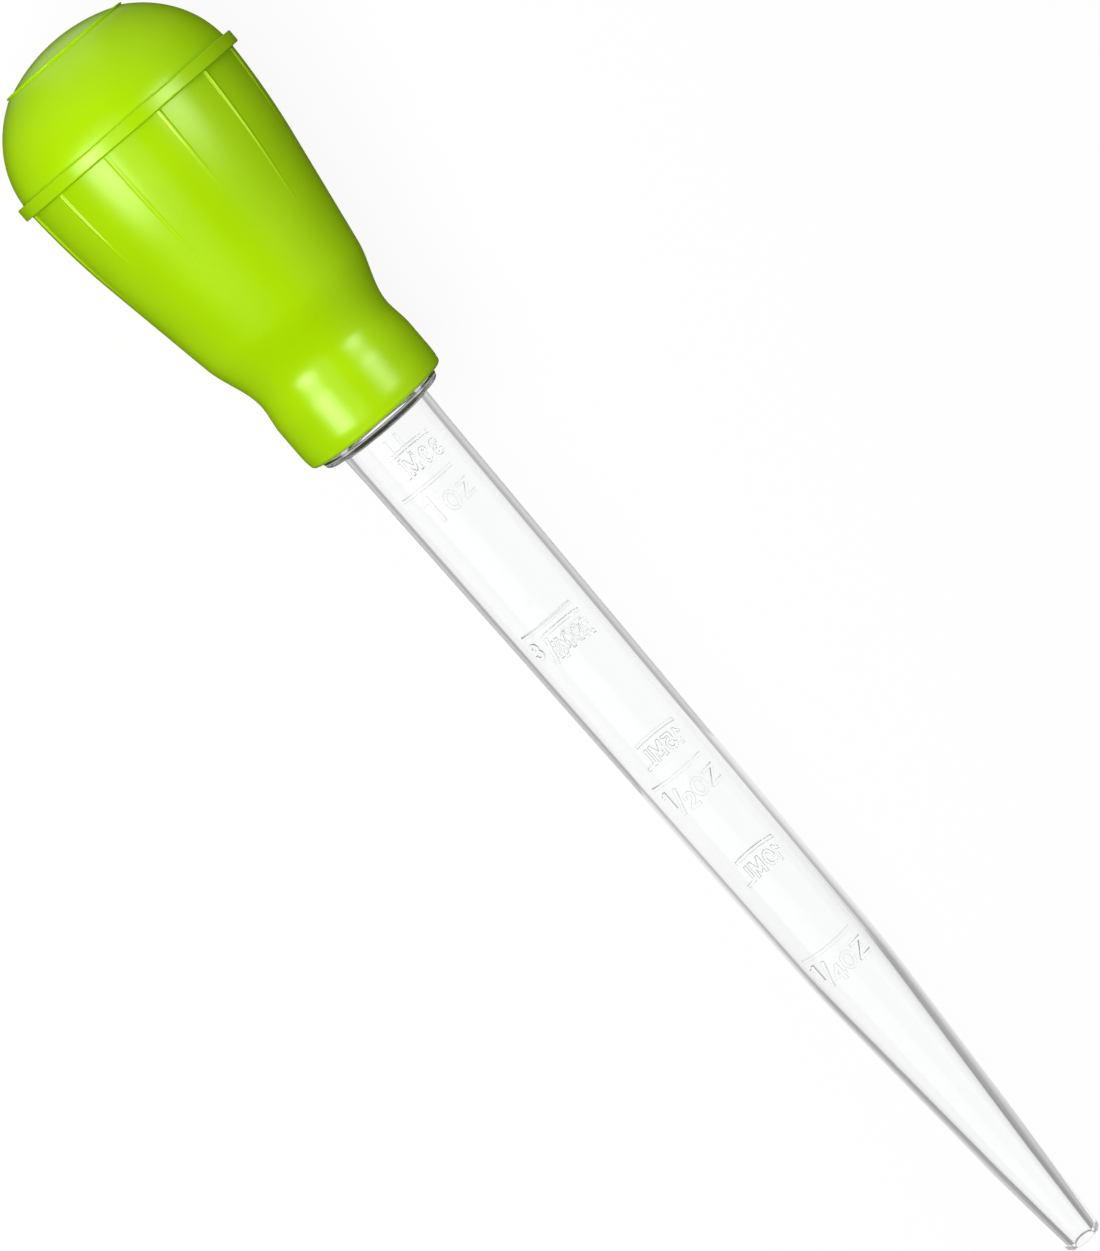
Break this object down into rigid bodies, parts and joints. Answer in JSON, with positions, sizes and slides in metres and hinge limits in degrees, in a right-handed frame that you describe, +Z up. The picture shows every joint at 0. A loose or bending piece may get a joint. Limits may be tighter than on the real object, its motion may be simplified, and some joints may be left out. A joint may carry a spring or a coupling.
{
  "type": "dropper pipette",
  "caption": "Long squeeze-bulb dropper pipette: a hollow soft bulb with a ribbed grip ring, stretched over the collar of a clear graduated tube with a conical tip.",
  "frame": {"origin": "centre of the pipette's box in X and Y, on the surface that the pipette lies on", "axes": "+X from the bulb towards the tip, +Z up; the pipette's own axis falls towards the tip by 4.43 degrees, because it lies on the bulb's ring and on the tip"},
  "size_m": [0.3038, 0.052, 0.0519],
  "materials": {
    "bulb_rubber": "satin moulded soft rubber, lime green",
    "clear_tube": "clear, polished, injection moulded"
  },
  "bodies": {
    "root": {"bulb": "bulb_rubber", "tube": "clear_tube"}
  },
  "joints": []
}
